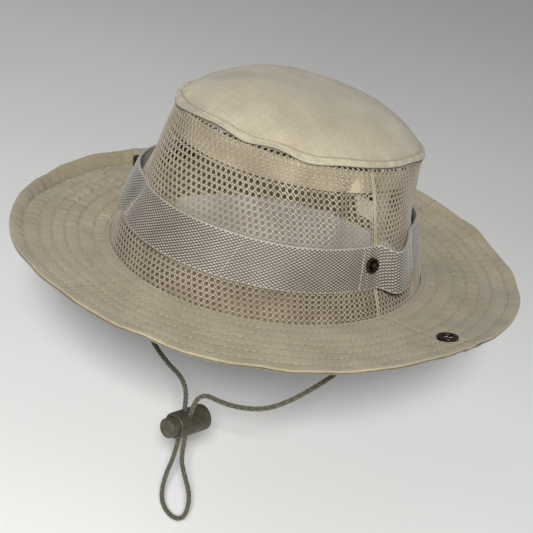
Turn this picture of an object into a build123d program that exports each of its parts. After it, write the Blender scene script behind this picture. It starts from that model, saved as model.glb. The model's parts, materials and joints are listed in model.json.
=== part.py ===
from build123d import *
import os
from math import cos, pi, radians, sin, tan

# Mesh boonie hat. Millimetres. The origin is the centre of the head opening, on the seam between
# crown and brim. +Z runs up the crown, -Y is the wearer's front and +X the wearer's left.

# Crown wall: half axes and centre of its outside at four levels, and the cloth top's dome
base_x, base_y = 88.8, 103.0
low_x, low_y, low_z, low_centre = 83.8, 94.2, 17.0, (-0.2, -1.3)
waist_x, waist_y, waist_z, waist_centre = 77.6, 85.2, 41.0, (0.0, -1.8)
top_x, top_y, top_z, top_centre = 69.0, 79.8, 82.3, (1.7, 1.2)
top_tilt = 5.07
dome_rise = 24.2
dome_power = 3.5
seam_drop = 2.6
mesh_thick = 0.8
tip_thick = 0.9

# Inside of the crown
tape_thick = 0.6
tape_width = 12.0
sweatband_gap = 3.0
sweatband_thick = 1.0
sweatband_top = 30.0
label_width, label_low, label_high = 22.0, 8.0, 24.0

# Brim: outside half axes, rise of the edge, cloth layers, and the fold line of each side
brim_x, brim_y, brim_shift = 148.0, 163.2, 2.3
rise_all, rise_left, rise_back = 3.0, 2.6, 0.7
cloth_thick = 0.7
core_thick = 0.9
layer_gap = 0.1
seam_gap = 0.1
side_turn = 12.0
fold_reach = 102.0
fold_gap = 3.5

# Webbing round the crown
webbing_thick = 1.3
webbing_low, webbing_high = low_z, waist_z
strip_gap = 0.6
front_end = -12.6
strip_start, first_tack = -6.6, -1.5
loop_ends = (24.0, 52.0, 90.0)
loop_standoff = (7.0, 3.6, 4.5)
loop_peak = 0.4

# Snap fasteners
snap_reach = 131.0
snap_back = 8.9
stud_turn = -5.2
stud_level = 30.6
flange_radius = 5.6
flange_thick = 0.9
stud_radius = 4.5
boss_radius, boss_height = 2.2, 3.0
shank_radius = 1.6
ring_radius, ring_hole, ring_height, ring_floor = 6.1, 2.9, 1.9, 0.5
lip_width, lip_height = 0.9, 0.7
rim_round = 0.5
fit_gap = 0.1
wall_ease = 0.7

# Chin cord and its tabs
cord_diameter = 3.4
strand_x, strand_y = 2.4, -40.0
tab_wide, tab_thick, tab_high = 9.0, 5.6, 7.0
cord_start = (86.4, -1.0, -4.6)
cord_side = [
    (86.0, -5.5, -20.5),
    (81.8, -12.5, -37.5),
    (74.8, -20.5, -49.5),
    (66.8, -28.5, -61.0),
    (57.0, -36.0, -71.0),
    (42.0, -39.0, -79.0),
    (25.0, strand_y, -84.5),
    (9.2, strand_y, -87.0),
    (strand_x, strand_y, -98.5),
]
cord_loop = [
    (strand_x, strand_y, -137.0),
    (8.2, strand_y, -146.5),
    (17.5, strand_y, -157.5),
    (17.5, strand_y, -173.5),
    (10.5, strand_y, -180.5),
    (0.5, strand_y, -180.5),
    (-6.5, strand_y, -173.5),
    (-6.5, strand_y, -157.0),
    (-strand_x, strand_y, -139.0),
]
bend_share = 0.45

# Cord lock: barrel, plunger and spring on an axis along Y
lock_level = -113.3
barrel_radius, bore_radius = 8.3, 6.6
barrel_front, barrel_back, bore_end = -50.0, -25.0, -27.0
plunger_radius, plunger_front, plunger_back = 6.25, -56.0, -34.4
slot_wide, slot_deep = 9.0, 4.2
plunger_travel = 3.5
spring_wire, spring_radius, spring_pitch = 0.8, 4.6, 1.6

# Reach of the cutting shapes
far = 400.0
tall = 60.0
drill_depth = 8.0
surface_steps = 12
surface_margin = 20.0

top_plane = Plane(
    origin=(*top_centre, top_z),
    x_dir=(1, 0, 0),
    z_dir=(0, sin(radians(top_tilt)), cos(radians(top_tilt))),
)
os.makedirs("parts", exist_ok=True)


def save(builder, name):
    """Label a finished piece and write it as parts/name.step."""
    builder.part.label = name
    export_step(builder.part, f"parts/{name}.step")


def crown_solid(grow):
    """The solid inside the crown wall's outside face, grown outwards by grow."""
    with BuildPart() as solid:
        with BuildSketch(Plane.XY.offset(-seam_drop)):
            Ellipse(base_x + grow, base_y + grow)
        with BuildSketch(Plane.XY.offset(low_z)):
            with Locations(low_centre):
                Ellipse(low_x + grow, low_y + grow)
        with BuildSketch(Plane.XY.offset(waist_z)):
            with Locations(waist_centre):
                Ellipse(waist_x + grow, waist_y + grow)
        with BuildSketch(top_plane):
            Ellipse(top_x + grow, top_y + grow)
        loft()
    return solid.part


def crown_shell(outer, inner):
    """A skin that follows the crown wall between two offsets from its outside."""
    with BuildPart() as shell:
        add(crown_solid(outer))
        add(crown_solid(inner), mode=Mode.SUBTRACT)
    return shell.part


# ---------------------------------------------------------------- crown
stud_across = cos(radians(stud_turn))
stud_along = sin(radians(stud_turn))
stud_share = (stud_level - low_z) / (waist_z - low_z)
wall_x = low_x + (waist_x - low_x) * stud_share
wall_y = low_y + (waist_y - low_y) * stud_share
wall_lean = (low_x - waist_x) / (waist_z - low_z)
stud_foot = (wall_x * stud_across, waist_centre[1] + wall_y * stud_along, stud_level)
stud_plane = Plane(
    origin=stud_foot,
    z_dir=(stud_across / wall_x, stud_along / wall_y, wall_lean / wall_x),
)
mirrored_stud_plane = Plane(
    origin=(-stud_foot[0], stud_foot[1], stud_foot[2]),
    z_dir=(-stud_plane.z_dir.X, stud_plane.z_dir.Y, stud_plane.z_dir.Z),
)

with BuildPart() as shank_holes:
    for plane in (stud_plane, mirrored_stud_plane):
        with BuildSketch(plane.offset(-drill_depth)):
            Circle(shank_radius + fit_gap)
        extrude(amount=2 * drill_depth)

crown_wall = crown_shell(0, -mesh_thick)
for name, keep, edge in (
    ("crown_mesh_front", Keep.TOP, seam_gap),
    ("crown_mesh_back", Keep.BOTTOM, -seam_gap),
):
    with BuildPart() as crown_mesh:
        add(crown_wall)
        add(shank_holes.part, mode=Mode.SUBTRACT)
        split(bisect_by=Plane.XZ.offset(edge / 2), keep=keep)
    save(crown_mesh, name)

dome_shares = (0.0, 0.35, 0.6, 0.8, 0.92, 1.0)
dome_ends = [(1, 0), (1, -dome_power * dome_rise / top_y)]
with BuildPart() as round_dome:
    with BuildSketch(Plane.XZ):
        with BuildLine():
            outside = Spline(
                [(top_y * s, dome_rise * (1 - s**dome_power)) for s in dome_shares],
                tangents=dome_ends,
            )
            inside = Spline(
                [
                    ((top_y - tip_thick) * s, (dome_rise - tip_thick) * (1 - s**dome_power))
                    for s in dome_shares
                ],
                tangents=dome_ends,
            )
            Line(outside @ 0, inside @ 0)
            Line(outside @ 1, inside @ 1)
        make_face()
    revolve(axis=Axis.Z)
    scale(by=(top_x / top_y, 1, 1))

with BuildPart() as crown_tip:
    with Locations(top_plane.offset(seam_gap)):
        add(round_dome.part)
save(crown_tip, "crown_tip")

with BuildPart() as crown_seam_tape:
    add(crown_shell(-mesh_thick - fit_gap, -mesh_thick - fit_gap - tape_thick))
    split(bisect_by=top_plane.offset(-seam_gap), keep=Keep.BOTTOM)
    split(bisect_by=top_plane.offset(-tape_width), keep=Keep.TOP)
save(crown_seam_tape, "crown_seam_tape")

for name, side in (("crown_side_tape_left", 1), ("crown_side_tape_right", -1)):
    with BuildPart() as side_tape:
        add(crown_shell(-mesh_thick - fit_gap, -mesh_thick - fit_gap - tape_thick))
        with BuildSketch(Plane.XY.offset(waist_z)):
            with Locations((side * far / 2, 0)):
                Rectangle(far, tape_width)
        extrude(amount=far, mode=Mode.INTERSECT)
        split(bisect_by=top_plane.offset(-tape_width - seam_gap), keep=Keep.BOTTOM)
    save(side_tape, name)

with BuildPart() as sweatband:
    add(crown_shell(-sweatband_gap, -sweatband_gap - sweatband_thick))
    split(bisect_by=Plane.XY.offset(sweatband_top), keep=Keep.BOTTOM)
save(sweatband, "sweatband")

with BuildPart() as size_label:
    label_out = -sweatband_gap - sweatband_thick - fit_gap
    add(crown_shell(label_out, label_out - tape_thick))
    with BuildSketch(Plane.XY.offset(label_low)):
        with Locations((0, far / 2)):
            Rectangle(label_width, far)
    extrude(amount=label_high - label_low, mode=Mode.INTERSECT)
save(size_label, "size_label")

# ---------------------------------------------------------------- webbing
with BuildPart() as front_sector:
    with BuildSketch(Plane.XY.offset(webbing_low)):
        with Locations((0, front_end - far / 2)):
            Rectangle(far, far)
    extrude(amount=webbing_high - webbing_low)

with BuildPart() as stud_room:
    for plane in (stud_plane, mirrored_stud_plane):
        with BuildSketch(plane.offset(-drill_depth)):
            Circle(flange_radius + strip_gap)
        extrude(amount=2 * drill_depth)

with BuildPart() as hatband_front:
    add(crown_shell(strip_gap / 2 + webbing_thick, strip_gap / 2))
    add(front_sector.part, mode=Mode.INTERSECT)
    add(stud_room.part, mode=Mode.SUBTRACT)
save(hatband_front, "hatband_front")


def loop_line(half_x, half_y, centre, grow):
    """The back strip's line at one level: on the wall at its tacks, and away from it between them."""
    marks = [(strip_start, 0.0), (first_tack, 0.0)]
    for start, end, standoff in zip((first_tack, *loop_ends), loop_ends, loop_standoff):
        marks.append((start + (end - start) * loop_peak, standoff))
        marks.append((end, 0.0))
    marks += [(180 - turn, standoff) for turn, standoff in reversed(marks[:-1])]
    points = []
    for turn, standoff in marks:
        out = strip_gap + standoff + grow
        across = (half_x + out) * cos(radians(turn))
        along = (half_y + out) * sin(radians(turn))
        points.append((centre[0] + across, centre[1] + along))
    return points


with BuildPart() as hatband_back:
    for level, half_x, half_y, centre in (
        (webbing_low, low_x, low_y, low_centre),
        (webbing_high, waist_x, waist_y, waist_centre),
    ):
        with BuildSketch(Plane.XY.offset(level)):
            with BuildLine():
                inside = Spline(loop_line(half_x, half_y, centre, 0))
                outside = Spline(loop_line(half_x, half_y, centre, webbing_thick))
                Line(inside @ 0, outside @ 0)
                Line(inside @ 1, outside @ 1)
            make_face()
    loft(ruled=True)
    add(shank_holes.part, mode=Mode.SUBTRACT)
save(hatband_back, "hatband_back")


# ---------------------------------------------------------------- brim
def brim_height(x, y):
    """Height of the brim's top face: level with the seam there, and rising outwards."""
    outwards = (x / base_x) ** 2 + (y / base_y) ** 2 - 1
    return outwards * (rise_all + rise_left * (x / brim_x) ** 3 + rise_back * y / brim_y)


def brim_surface(depth):
    """The brim's top face, lowered by depth."""
    half_x, half_y = brim_x + surface_margin, brim_y + surface_margin
    shares = [2 * i / surface_steps - 1 for i in range(surface_steps + 1)]
    rows = []
    for x in [half_x * share for share in shares]:
        rows.append(
            [
                Vector(x, y, brim_height(x, y) - depth)
                for y in [half_y * share for share in shares]
            ]
        )
    return Face.make_surface_from_array_of_points(rows)


def brim_layer(top_depth, thick, inset):
    """One whole layer of the brim, from the crown seam out to its edge."""
    with BuildPart() as layer:
        with BuildSketch(Plane.XY.offset(-tall / 2)):
            with Locations((0, brim_shift)):
                Ellipse(brim_x - inset, brim_y - inset)
            Ellipse(base_x + seam_gap, base_y + seam_gap, mode=Mode.SUBTRACT)
        extrude(amount=tall)
        split(bisect_by=brim_surface(top_depth), keep=Keep.BOTTOM)
        split(bisect_by=brim_surface(top_depth + thick), keep=Keep.TOP)
    return layer.part


def side_sector(side, start):
    """Everything further out to one side than start, measured square to that side's fold."""
    with BuildPart() as sector:
        facing = Plane.XY.rotated((0, 0, 90 - side * (90 - side_turn)))
        with BuildSketch(facing.offset(-tall / 2)):
            with Locations((start + far / 2, 0)):
                Rectangle(far, 2 * far)
        extrude(amount=tall)
    return sector.part


def half_sector(back):
    """Everything in front of the brim's side seams, or behind them."""
    y_side = far * tan(radians(side_turn))
    edge = seam_gap / 2 if back else -seam_gap / 2
    y_end = far if back else -far
    with BuildPart() as sector:
        with BuildSketch(Plane.XY.offset(-tall / 2)):
            with BuildLine():
                Polyline(
                    (-far, y_side + edge),
                    (-base_x, edge),
                    (base_x, edge),
                    (far, y_side + edge),
                    (far, y_end),
                    (-far, y_end),
                    close=True,
                )
            make_face()
        extrude(amount=tall)
    return sector.part


def snap_plane(side, lift):
    """Where a side's brim snap sits: on the top face, square to it."""
    x, y = side * snap_reach, snap_back
    step = 1.0
    slope_x = (brim_height(x + step, y) - brim_height(x - step, y)) / (2 * step)
    slope_y = (brim_height(x, y + step) - brim_height(x, y - step)) / (2 * step)
    seat = Plane(origin=(x, y, brim_height(x, y)), z_dir=(-slope_x, -slope_y, 1))
    return seat.offset(lift)


with BuildPart() as snap_holes:
    for side in (1, -1):
        with BuildSketch(snap_plane(side, -drill_depth)):
            Circle(shank_radius + fit_gap)
        extrude(amount=2 * drill_depth)

brim_depth = 2 * cloth_thick + core_thick + 2 * layer_gap
layers = (
    ("upper", 0.0, cloth_thick, 0.0),
    ("stiffener", cloth_thick + layer_gap, core_thick, 4.0),
    ("under", cloth_thick + core_thick + 2 * layer_gap, cloth_thick, 0.0),
)
side_names = (("left", 1), ("right", -1))
for kind, depth, thick, inset in layers:
    whole = brim_layer(depth, thick, inset)
    halves = (("_front", half_sector(False)), ("_back", half_sector(True)))
    if kind == "stiffener":
        halves = (("", None),)
    for half_name, half in halves:
        with BuildPart() as centre_piece:
            add(whole)
            if half:
                add(half, mode=Mode.INTERSECT)
            for side_name, side in side_names:
                add(side_sector(side, fold_reach - fold_gap), mode=Mode.SUBTRACT)
        save(centre_piece, f"brim_{kind}{half_name}")
        for side_name, side in side_names:
            with BuildPart() as side_piece:
                add(whole)
                if half:
                    add(half, mode=Mode.INTERSECT)
                add(side_sector(side, fold_reach + fold_gap), mode=Mode.INTERSECT)
                add(snap_holes.part, mode=Mode.SUBTRACT)
            save(side_piece, f"brim_{kind}_{side_name}{half_name}")

# ---------------------------------------------------------------- snap fasteners
strip_face = strip_gap + webbing_thick + fit_gap
post_reach = mesh_thick + wall_ease
for side_name, side in side_names:
    plane = stud_plane if side > 0 else mirrored_stud_plane
    with BuildPart() as stud:
        with BuildSketch(plane.offset(strip_face)):
            Circle(stud_radius)
            Circle(shank_radius, mode=Mode.SUBTRACT)
        extrude(amount=flange_thick)
        with BuildSketch(plane.offset(strip_face + flange_thick)):
            Circle(stud_radius)
            Circle(stud_radius - lip_width, mode=Mode.SUBTRACT)
        extrude(amount=lip_height)
        with BuildSketch(plane.offset(strip_face + flange_thick)):
            Circle(boss_radius)
        extrude(amount=boss_height)
        stud_rims = stud.edges().filter_by(GeomType.CIRCLE)
        fillet(stud_rims.sort_by(Axis(plane.origin, plane.z_dir)).last, rim_round)
    save(stud, f"crown_snap_stud_{side_name}")
    with BuildPart() as post:
        with BuildSketch(plane.offset(-post_reach - flange_thick)):
            Circle(flange_radius - lip_width)
        extrude(amount=flange_thick)
        with BuildSketch(plane.offset(-post_reach)):
            Circle(shank_radius)
        extrude(amount=post_reach + strip_face + flange_thick)
    save(post, f"crown_snap_post_{side_name}")
    seat = snap_plane(side, fit_gap)
    with BuildPart() as socket:
        with BuildSketch(seat):
            Circle(ring_radius)
            Circle(shank_radius, mode=Mode.SUBTRACT)
        extrude(amount=ring_floor)
        with BuildSketch(seat.offset(ring_floor)):
            Circle(ring_radius)
            Circle(ring_hole, mode=Mode.SUBTRACT)
        extrude(amount=ring_height - ring_floor)
        ring_rims = socket.edges().filter_by(GeomType.CIRCLE)
        fillet(ring_rims.sort_by(Axis(seat.origin, seat.z_dir))[-2:], rim_round)
    save(socket, f"brim_snap_socket_{side_name}")
    with BuildPart() as cap:
        with BuildSketch(snap_plane(side, -brim_depth - fit_gap - flange_thick)):
            Circle(flange_radius)
        extrude(amount=flange_thick)
        with BuildSketch(snap_plane(side, -brim_depth - fit_gap)):
            Circle(shank_radius)
        extrude(amount=brim_depth + 2 * fit_gap + ring_floor)
    save(cap, f"brim_snap_cap_{side_name}")

# ---------------------------------------------------------------- chin cord
cord_right_side = [(-x, y, z) for x, y, z in reversed([cord_start, *cord_side])]
cord_points = [Vector(p) for p in [cord_start, *cord_side, *cord_loop, *cord_right_side]]
runs = [b - a for a, b in zip(cord_points, cord_points[1:])]
cord_radii = []
for before, after in zip(runs, runs[1:]):
    turn = before.get_angle(after)
    cord_radii.append(bend_share * min(before.length, after.length) / tan(radians(turn / 2)))
    print(f"cord turn {turn:.1f} degrees, radius {cord_radii[-1]:.1f} mm, run {before.length:.1f} mm")

with BuildPart() as chin_cord:
    with BuildLine() as cord_line:
        FilletPolyline(cord_points, radius=cord_radii)
    with BuildSketch(Plane(origin=cord_line.line @ 0, z_dir=cord_line.line % 0)):
        Circle(cord_diameter / 2)
    sweep()
save(chin_cord, "chin_cord")
cord_length = sum(edge.length for edge in cord_line.edges())
section = pi * cord_diameter**2 / 4
print(f"cord length {cord_length:.0f} mm, volume {chin_cord.part.volume:.0f} mm3")
print(f"its section times its length {section * cord_length:.0f} mm3")

for side_name, side in side_names:
    start = Vector(side * cord_start[0], cord_start[1], cord_start[2])
    with BuildPart() as cord_tab:
        with BuildSketch(Plane.XY.offset(-seam_drop - seam_gap)):
            with Locations((start.X, start.Y)):
                RectangleRounded(tab_thick, tab_wide, tab_thick / 3)
        extrude(amount=-tab_high)
        add(chin_cord.part, mode=Mode.SUBTRACT)
    save(cord_tab, f"cord_tab_{side_name}")

# ---------------------------------------------------------------- cord lock
lock_axis = Plane(origin=(0, 0, lock_level), x_dir=(1, 0, 0), z_dir=(0, 1, 0))

with BuildPart() as cord_lock_barrel:
    with BuildSketch(lock_axis.offset(barrel_front)):
        Circle(barrel_radius)
    extrude(amount=barrel_back - barrel_front)
    fillet(cord_lock_barrel.edges().filter_by(GeomType.CIRCLE), 2 * rim_round)
    with BuildSketch(lock_axis.offset(barrel_front)):
        Circle(bore_radius)
    extrude(amount=bore_end - barrel_front, mode=Mode.SUBTRACT)
    with BuildSketch(Plane.XY.offset(lock_level - barrel_radius)):
        with Locations((0, strand_y)):
            Rectangle(slot_wide, slot_deep)
    extrude(amount=2 * barrel_radius, mode=Mode.SUBTRACT)
save(cord_lock_barrel, "cord_lock_barrel")

with BuildPart() as cord_lock_plunger:
    with BuildSketch(lock_axis.offset(plunger_front)):
        Circle(plunger_radius)
    extrude(amount=plunger_back - plunger_front)
    plunger_rims = cord_lock_plunger.edges().filter_by(GeomType.CIRCLE)
    fillet(plunger_rims.sort_by(Axis.Y).first, 2 * rim_round)
    with BuildSketch(Plane.XY.offset(lock_level - barrel_radius)):
        with Locations((0, strand_y - plunger_travel / 2)):
            Rectangle(slot_wide, slot_deep + plunger_travel)
    extrude(amount=2 * barrel_radius, mode=Mode.SUBTRACT)
save(cord_lock_plunger, "cord_lock_plunger")

spring_front = plunger_back + fit_gap + spring_wire / 2
spring_back = bore_end - fit_gap - spring_wire / 2
with BuildPart() as cord_lock_spring:
    with BuildLine():
        Helix(
            pitch=spring_pitch,
            height=spring_back - spring_front,
            radius=spring_radius,
            center=(0, spring_front, lock_level),
            direction=(0, 1, 0),
        )
    coil = cord_lock_spring.pending_edges[0]
    with BuildSketch(Plane(origin=coil @ 0, z_dir=coil % 0)):
        Circle(spring_wire / 2)
    sweep(is_frenet=True)
save(cord_lock_spring, "cord_lock_spring")
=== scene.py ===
import json

import bmesh
import bpy
import numpy as np
from mathutils import Matrix, Vector


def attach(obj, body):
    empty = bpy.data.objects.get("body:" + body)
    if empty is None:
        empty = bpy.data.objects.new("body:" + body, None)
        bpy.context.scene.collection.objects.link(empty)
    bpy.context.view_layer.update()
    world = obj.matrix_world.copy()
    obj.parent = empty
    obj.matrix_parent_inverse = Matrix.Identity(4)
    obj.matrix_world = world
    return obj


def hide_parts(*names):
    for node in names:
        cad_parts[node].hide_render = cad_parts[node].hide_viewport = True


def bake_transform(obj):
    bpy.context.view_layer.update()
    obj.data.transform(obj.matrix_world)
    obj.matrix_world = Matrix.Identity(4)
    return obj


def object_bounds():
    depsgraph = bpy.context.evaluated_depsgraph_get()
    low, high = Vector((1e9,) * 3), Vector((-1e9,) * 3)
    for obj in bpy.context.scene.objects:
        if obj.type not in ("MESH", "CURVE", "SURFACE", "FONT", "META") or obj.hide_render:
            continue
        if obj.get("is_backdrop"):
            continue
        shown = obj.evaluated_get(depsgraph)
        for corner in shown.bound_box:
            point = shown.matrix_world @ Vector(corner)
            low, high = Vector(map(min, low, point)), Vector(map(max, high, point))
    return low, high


# The looks of a mesh boonie hat. Shapes are worked out in millimetres in the row frame, and mesh_piece
# turns them into metres. Turns are angles round +Z: 0 is the wearer's left, -90 degrees the front.

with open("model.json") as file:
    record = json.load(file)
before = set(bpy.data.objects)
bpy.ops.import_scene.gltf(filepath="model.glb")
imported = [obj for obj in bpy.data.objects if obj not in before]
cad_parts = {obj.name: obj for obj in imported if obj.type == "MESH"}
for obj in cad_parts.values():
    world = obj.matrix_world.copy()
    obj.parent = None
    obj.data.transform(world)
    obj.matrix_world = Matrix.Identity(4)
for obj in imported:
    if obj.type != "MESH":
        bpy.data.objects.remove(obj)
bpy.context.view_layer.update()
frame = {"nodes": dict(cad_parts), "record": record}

MM = 0.001
QUARTER = np.pi / 2

# Crown wall: half axes, centre, height and tilt drop of its four sections, and their shares of the wall
SECTIONS = np.array(
    [
        (88.8, 103.0, 0.0, 0.0, -2.6, 0.0),
        (83.8, 94.2, -0.2, -1.3, 17.0, 0.0),
        (77.6, 85.2, 0.0, -1.8, 41.0, 0.0),
        (69.0, 79.5, 1.7, 1.2, 82.3, 7.05),
    ]
)
SHARES = (0.0, 0.236, 0.523, 1.0)
BASE_X, BASE_Y = SECTIONS[0, :2]
WAIST_X, WAIST_Y = SECTIONS[2, :2]
TOP_X, TOP_Y, TOP_CENTRE_X, TOP_CENTRE_Y, TOP_LEVEL = SECTIONS[3, :5]
WALL_RUN = 88.0
DOME_RUN = 113.0
DOME_RISE = 24.2
DOME_POWER = 3.5
TILT = np.radians(5.07)
SEAM_LEAN = np.radians(12.0)
# How far the top seam wanders up along the near side, at some turns in degrees
SEAM_MARKS = [(-180, 0), (-150, -0.5), (-125, -2.3), (-101, 0.7), (-85, 2.3), (-69, 0), (-57, 1.8)]
SEAM_MARKS += [(-42, -1.0), (-27, 0.6), (-12, 1.3), (4, 1.8), (16, 2.6), (34, 0.6), (60, 0), (180, 0)]

# Cloth top: how far above its edge the topstitching runs, its mean radius and its thickness
TOPSTITCH = 5.0
TIP_RADIUS = 75
TIP_THICK = 0.8
TIP_STANDOFF = 0.45

# Brim
BRIM_IN = (88.9, 103.1)
BRIM_OUT = (148.0, 163.2)
BRIM_SHIFT = 2.3
BRIM_THICK = 2.5
CLOTH_THICK = 0.7
CORE_INSET = 4.0
CORE_GAP = 0.2
FRONT_RISE, LEFT_RISE, BACK_RISE = 3.0, 2.6, 0.7
BRIM_RADIUS = 125
STITCH_ROWS = (0.03, 0.16, 0.32, 0.45, 0.58, 0.705, 0.865)
SIDE_TURN = np.radians(12.0)

# Webbing
WEB_LOW, WEB_HIGH = SHARES[1], SHARES[2]
WEB_THICK = 1.2
WEB_WIDTH = 24.6
WEB_GAP = 0.4

# Chin cord: the route's control points, in metres
CORD_START = (0.0864, -0.001, -0.0046)
CORD_SIDE = [
    (0.0860, -0.0055, -0.0205),
    (0.0818, -0.0125, -0.0375),
    (0.0748, -0.0205, -0.0495),
    (0.0668, -0.0285, -0.0610),
    (0.0570, -0.0360, -0.0710),
    (0.0420, -0.0390, -0.0790),
    (0.0250, -0.0400, -0.0845),
    (0.0092, -0.0400, -0.0870),
    (0.0024, -0.0400, -0.0985),
]
CORD_LOOP = [
    (0.0024, -0.0400, -0.1370),
    (0.0082, -0.0400, -0.1465),
    (0.0175, -0.0400, -0.1575),
    (0.0175, -0.0400, -0.1735),
    (0.0105, -0.0400, -0.1805),
    (0.0005, -0.0400, -0.1805),
    (-0.0065, -0.0400, -0.1735),
    (-0.0065, -0.0400, -0.1570),
    (-0.0024, -0.0400, -0.1390),
]


# ---------------------------------------------------------------- materials
def srgb(red, green, blue):
    """A colour given on the 0 to 255 scale, as linear light."""
    scaled = np.array([red, green, blue]) / 255
    linear = np.where(scaled <= 0.04045, scaled / 12.92, ((scaled + 0.055) / 1.055) ** 2.4)
    return (*linear.tolist(), 1.0)


class Look:
    """A node material, with short calls for the nodes that the finishes share."""

    def __init__(self, name, roughness, sheen=0.0, metallic=0.0, specular=0.3):
        self.material = bpy.data.materials.new(name)
        self.material.use_nodes = True
        self.tree = self.material.node_tree
        self.shader = self.tree.nodes["Principled BSDF"]
        self.shader.inputs["Roughness"].default_value = roughness
        self.shader.inputs["Sheen Weight"].default_value = sheen
        self.shader.inputs["Sheen Roughness"].default_value = 0.5
        self.shader.inputs["Metallic"].default_value = metallic
        self.shader.inputs["Specular IOR Level"].default_value = specular
        self.place = self.node("ShaderNodeTexCoord").outputs["Object"]

    def node(self, kind, **values):
        made = self.tree.nodes.new(kind)
        for name, value in values.items():
            setattr(made, name, value)
        return made

    def join(self, output, socket):
        self.tree.links.new(output, socket)

    def noise(self, scale, detail=3.0, stretch=(1, 1, 1)):
        """Noise with about scale bumps to the metre."""
        mapping = self.node("ShaderNodeMapping")
        mapping.inputs["Scale"].default_value = stretch
        made = self.node("ShaderNodeTexNoise")
        made.inputs["Scale"].default_value = scale
        made.inputs["Detail"].default_value = detail
        self.join(self.place, mapping.inputs["Vector"])
        self.join(mapping.outputs["Vector"], made.inputs["Vector"])
        return made.outputs["Fac"]

    def threads(self, pitch, direction, distortion=1.5):
        """Ribs of a pitch in metres, across a direction."""
        made = self.node("ShaderNodeTexWave", bands_direction=direction)
        made.inputs["Scale"].default_value = 0.314 / pitch
        made.inputs["Distortion"].default_value = distortion
        made.inputs["Detail Scale"].default_value = 2.0
        self.join(self.place, made.inputs["Vector"])
        return made.outputs["Fac"]

    def attribute(self, name):
        return self.node("ShaderNodeAttribute", attribute_name=name).outputs["Fac"]

    def math(self, operation, first, second):
        made = self.node("ShaderNodeMath", operation=operation)
        for socket, value in zip(made.inputs, (first, second)):
            if isinstance(value, (int, float)):
                socket.default_value = value
            else:
                self.join(value, socket)
        return made.outputs["Value"]

    def ramp(self, factor, stops):
        """A colour ramp of (position, colour) stops."""
        made = self.node("ShaderNodeValToRGB")
        elements = made.color_ramp.elements
        for element, (position, colour) in zip(elements, stops):
            element.position = position
            element.color = colour
        for position, colour in stops[2:]:
            elements.new(position).color = colour
        self.join(factor, made.inputs["Fac"])
        return made.outputs["Color"]

    def mix(self, factor, first, second):
        """The first colour where the factor is 0, the second where it is 1."""
        made = self.node("ShaderNodeMix", data_type="RGBA")
        colour_sockets = [s for s in made.inputs if s.type == "RGBA"]
        for socket, value in ((made.inputs["Factor"], factor), *zip(colour_sockets, (first, second))):
            if isinstance(value, (int, float, tuple)):
                socket.default_value = value
            else:
                self.join(value, socket)
        return [s for s in made.outputs if s.type == "RGBA"][0]

    def finish(self, colour, height=None, depth=0.0002, strength=0.6, roughness=None):
        self.join(colour, self.shader.inputs["Base Color"])
        if height is not None:
            bump = self.node("ShaderNodeBump")
            bump.inputs["Strength"].default_value = strength
            bump.inputs["Distance"].default_value = depth
            self.join(height, bump.inputs["Height"])
            self.join(bump.outputs["Normal"], self.shader.inputs["Normal"])
        if roughness is not None:
            self.join(roughness, self.shader.inputs["Roughness"])
        return self.material


def woven_cloth(name, light, dark, groove, pitch=0.0007, grid=0.0052):
    """Ripstop cotton: fine plain weave, a faint reinforcing grid, uneven in colour, with painted shade in its
    grooves.
    """
    look = Look(name, roughness=0.88, sheen=0.15, specular=0.18)
    weave = look.math("ADD", look.threads(pitch, "X", 3.0), look.threads(pitch, "Y", 3.0))
    cross = look.math("MAXIMUM", look.threads(grid, "X", 0.6), look.threads(grid, "Y", 0.6))
    rib = look.math("GREATER_THAN", cross, 0.985)
    cloudy = look.math("ADD", look.noise(38.0, 5.0), look.math("MULTIPLY", look.noise(900.0, 2.0), 0.55))
    shade = look.math("SUBTRACT", cloudy, look.math("MULTIPLY", rib, 0.06))
    colour = look.ramp(shade, [(0.52, dark), (0.98, light)])
    # Painted shade: where the groove attribute is high, at stitch rows, seams and edges, the colour goes to
    # the groove shade colour.
    groove_shaded = look.mix(look.attribute("groove"), colour, groove)
    height = look.math("ADD", look.math("MULTIPLY", weave, 0.5), look.math("MULTIPLY", rib, 0.8))
    return look.finish(groove_shaded, look.math("ADD", height, look.noise(700.0, 2.0)), depth=0.00025)


def net_yarn():
    """Knitted polyester yarn of the netting, with painted shade at the hole edges and on its back faces,
    which the groove attribute marks.
    """
    look = Look("net_yarn", roughness=0.75, sheen=0.2, specular=0.25)
    yarn = look.math("ADD", look.noise(60.0, 3.0), look.math("MULTIPLY", look.noise(1500.0, 1.0), 0.5))
    colour = look.ramp(yarn, [(0.5, srgb(140, 128, 108)), (0.95, srgb(168, 156, 135))])
    # Painted shade: the groove attribute darkens the yarn towards this dark colour.
    shaded = look.mix(look.attribute("groove"), colour, srgb(58, 50, 40))
    return look.finish(shaded, look.noise(2600.0, 1.0, (1, 1, 0.4)), depth=0.0002)


def webbing_yarn():
    """Grey-beige woven webbing, with painted shade in the gaps between its knuckles."""
    look = Look("webbing_yarn", roughness=0.55, sheen=0.2, specular=0.4)
    uneven = look.math("ADD", look.noise(45.0, 4.0), look.math("MULTIPLY", look.noise(2200.0, 1.0), 0.4))
    colour = look.ramp(uneven, [(0.45, srgb(148, 140, 128)), (0.9, srgb(178, 170, 158))])
    # Painted shade: the groove attribute marks the gaps between the knuckles, which go dark.
    gap = look.ramp(look.attribute("groove"), [(0.2, (0, 0, 0, 1)), (0.72, (1, 1, 1, 1))])
    shaded = look.mix(gap, colour, srgb(62, 55, 46))
    return look.finish(shaded, look.noise(3500.0, 1.0, (1, 1, 0.3)), depth=0.00015)


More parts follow.
